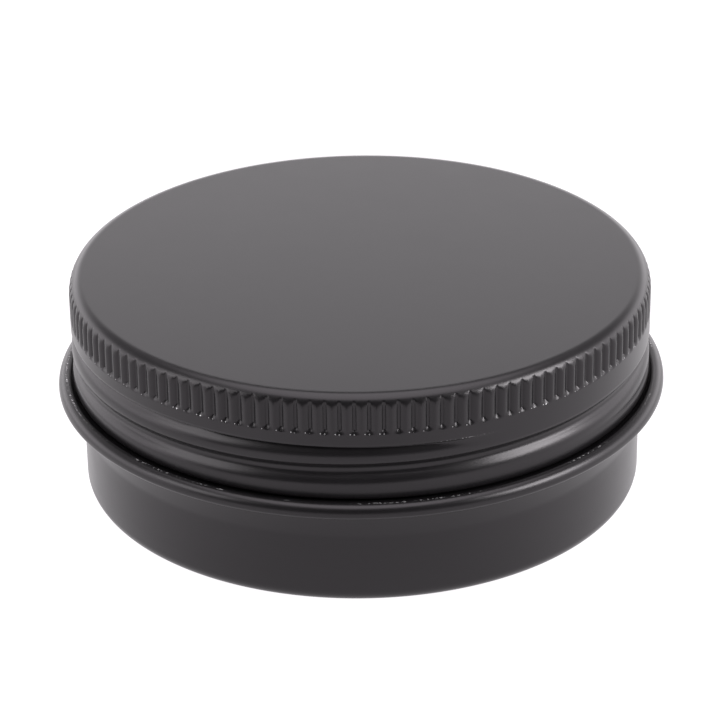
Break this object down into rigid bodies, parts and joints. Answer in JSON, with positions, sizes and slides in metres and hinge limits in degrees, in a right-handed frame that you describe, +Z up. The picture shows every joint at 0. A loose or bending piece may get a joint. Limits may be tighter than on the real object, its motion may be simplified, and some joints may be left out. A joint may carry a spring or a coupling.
{
  "type": "candle tin",
  "caption": "Round shallow screw-top tin for a small poured candle, with a rolled bead, a fluted lid that screws down on a rolled thread, and a foam liner.",
  "frame": {"origin": "on the tin's axis, in the plane of the ring that it stands on", "axes": "+Z up along the tin's axis, -Y towards the front, from which the thread's angles are counted towards +X"},
  "size_m": [0.068, 0.068, 0.025],
  "materials": {
    "tin_coating": "satin black coating on drawn aluminium, outside; clear lacquered bare metal inside",
    "lid_coating": "satin black coating on drawn aluminium, worn bright at the flutes' lower ends; clear lacquered bare metal inside",
    "liner_foam": "off-white closed-cell foam sheet"
  },
  "bodies": {
    "tin": {"tin_body": "tin_coating"},
    "liner": {"lid_liner": "liner_foam"},
    "lid": {"lid_shell": "lid_coating"}
  },
  "joints": [
    {"name": "lid_rise", "type": "slide", "parent": "tin", "child": "liner", "axis": [0, 0, 1], "range_m": [0, 0.0145]},
    {"name": "lid_turn", "type": "hinge", "parent": "liner", "child": "lid", "pos_m": [0, 0, 0.0137], "axis": [0, 0, 1], "range_deg": [0, 1620]}
  ],
  "couplings": [
    {"joint": "lid_rise", "follows": "lid_turn", "m_per_rad": 0.0005093}
  ]
}
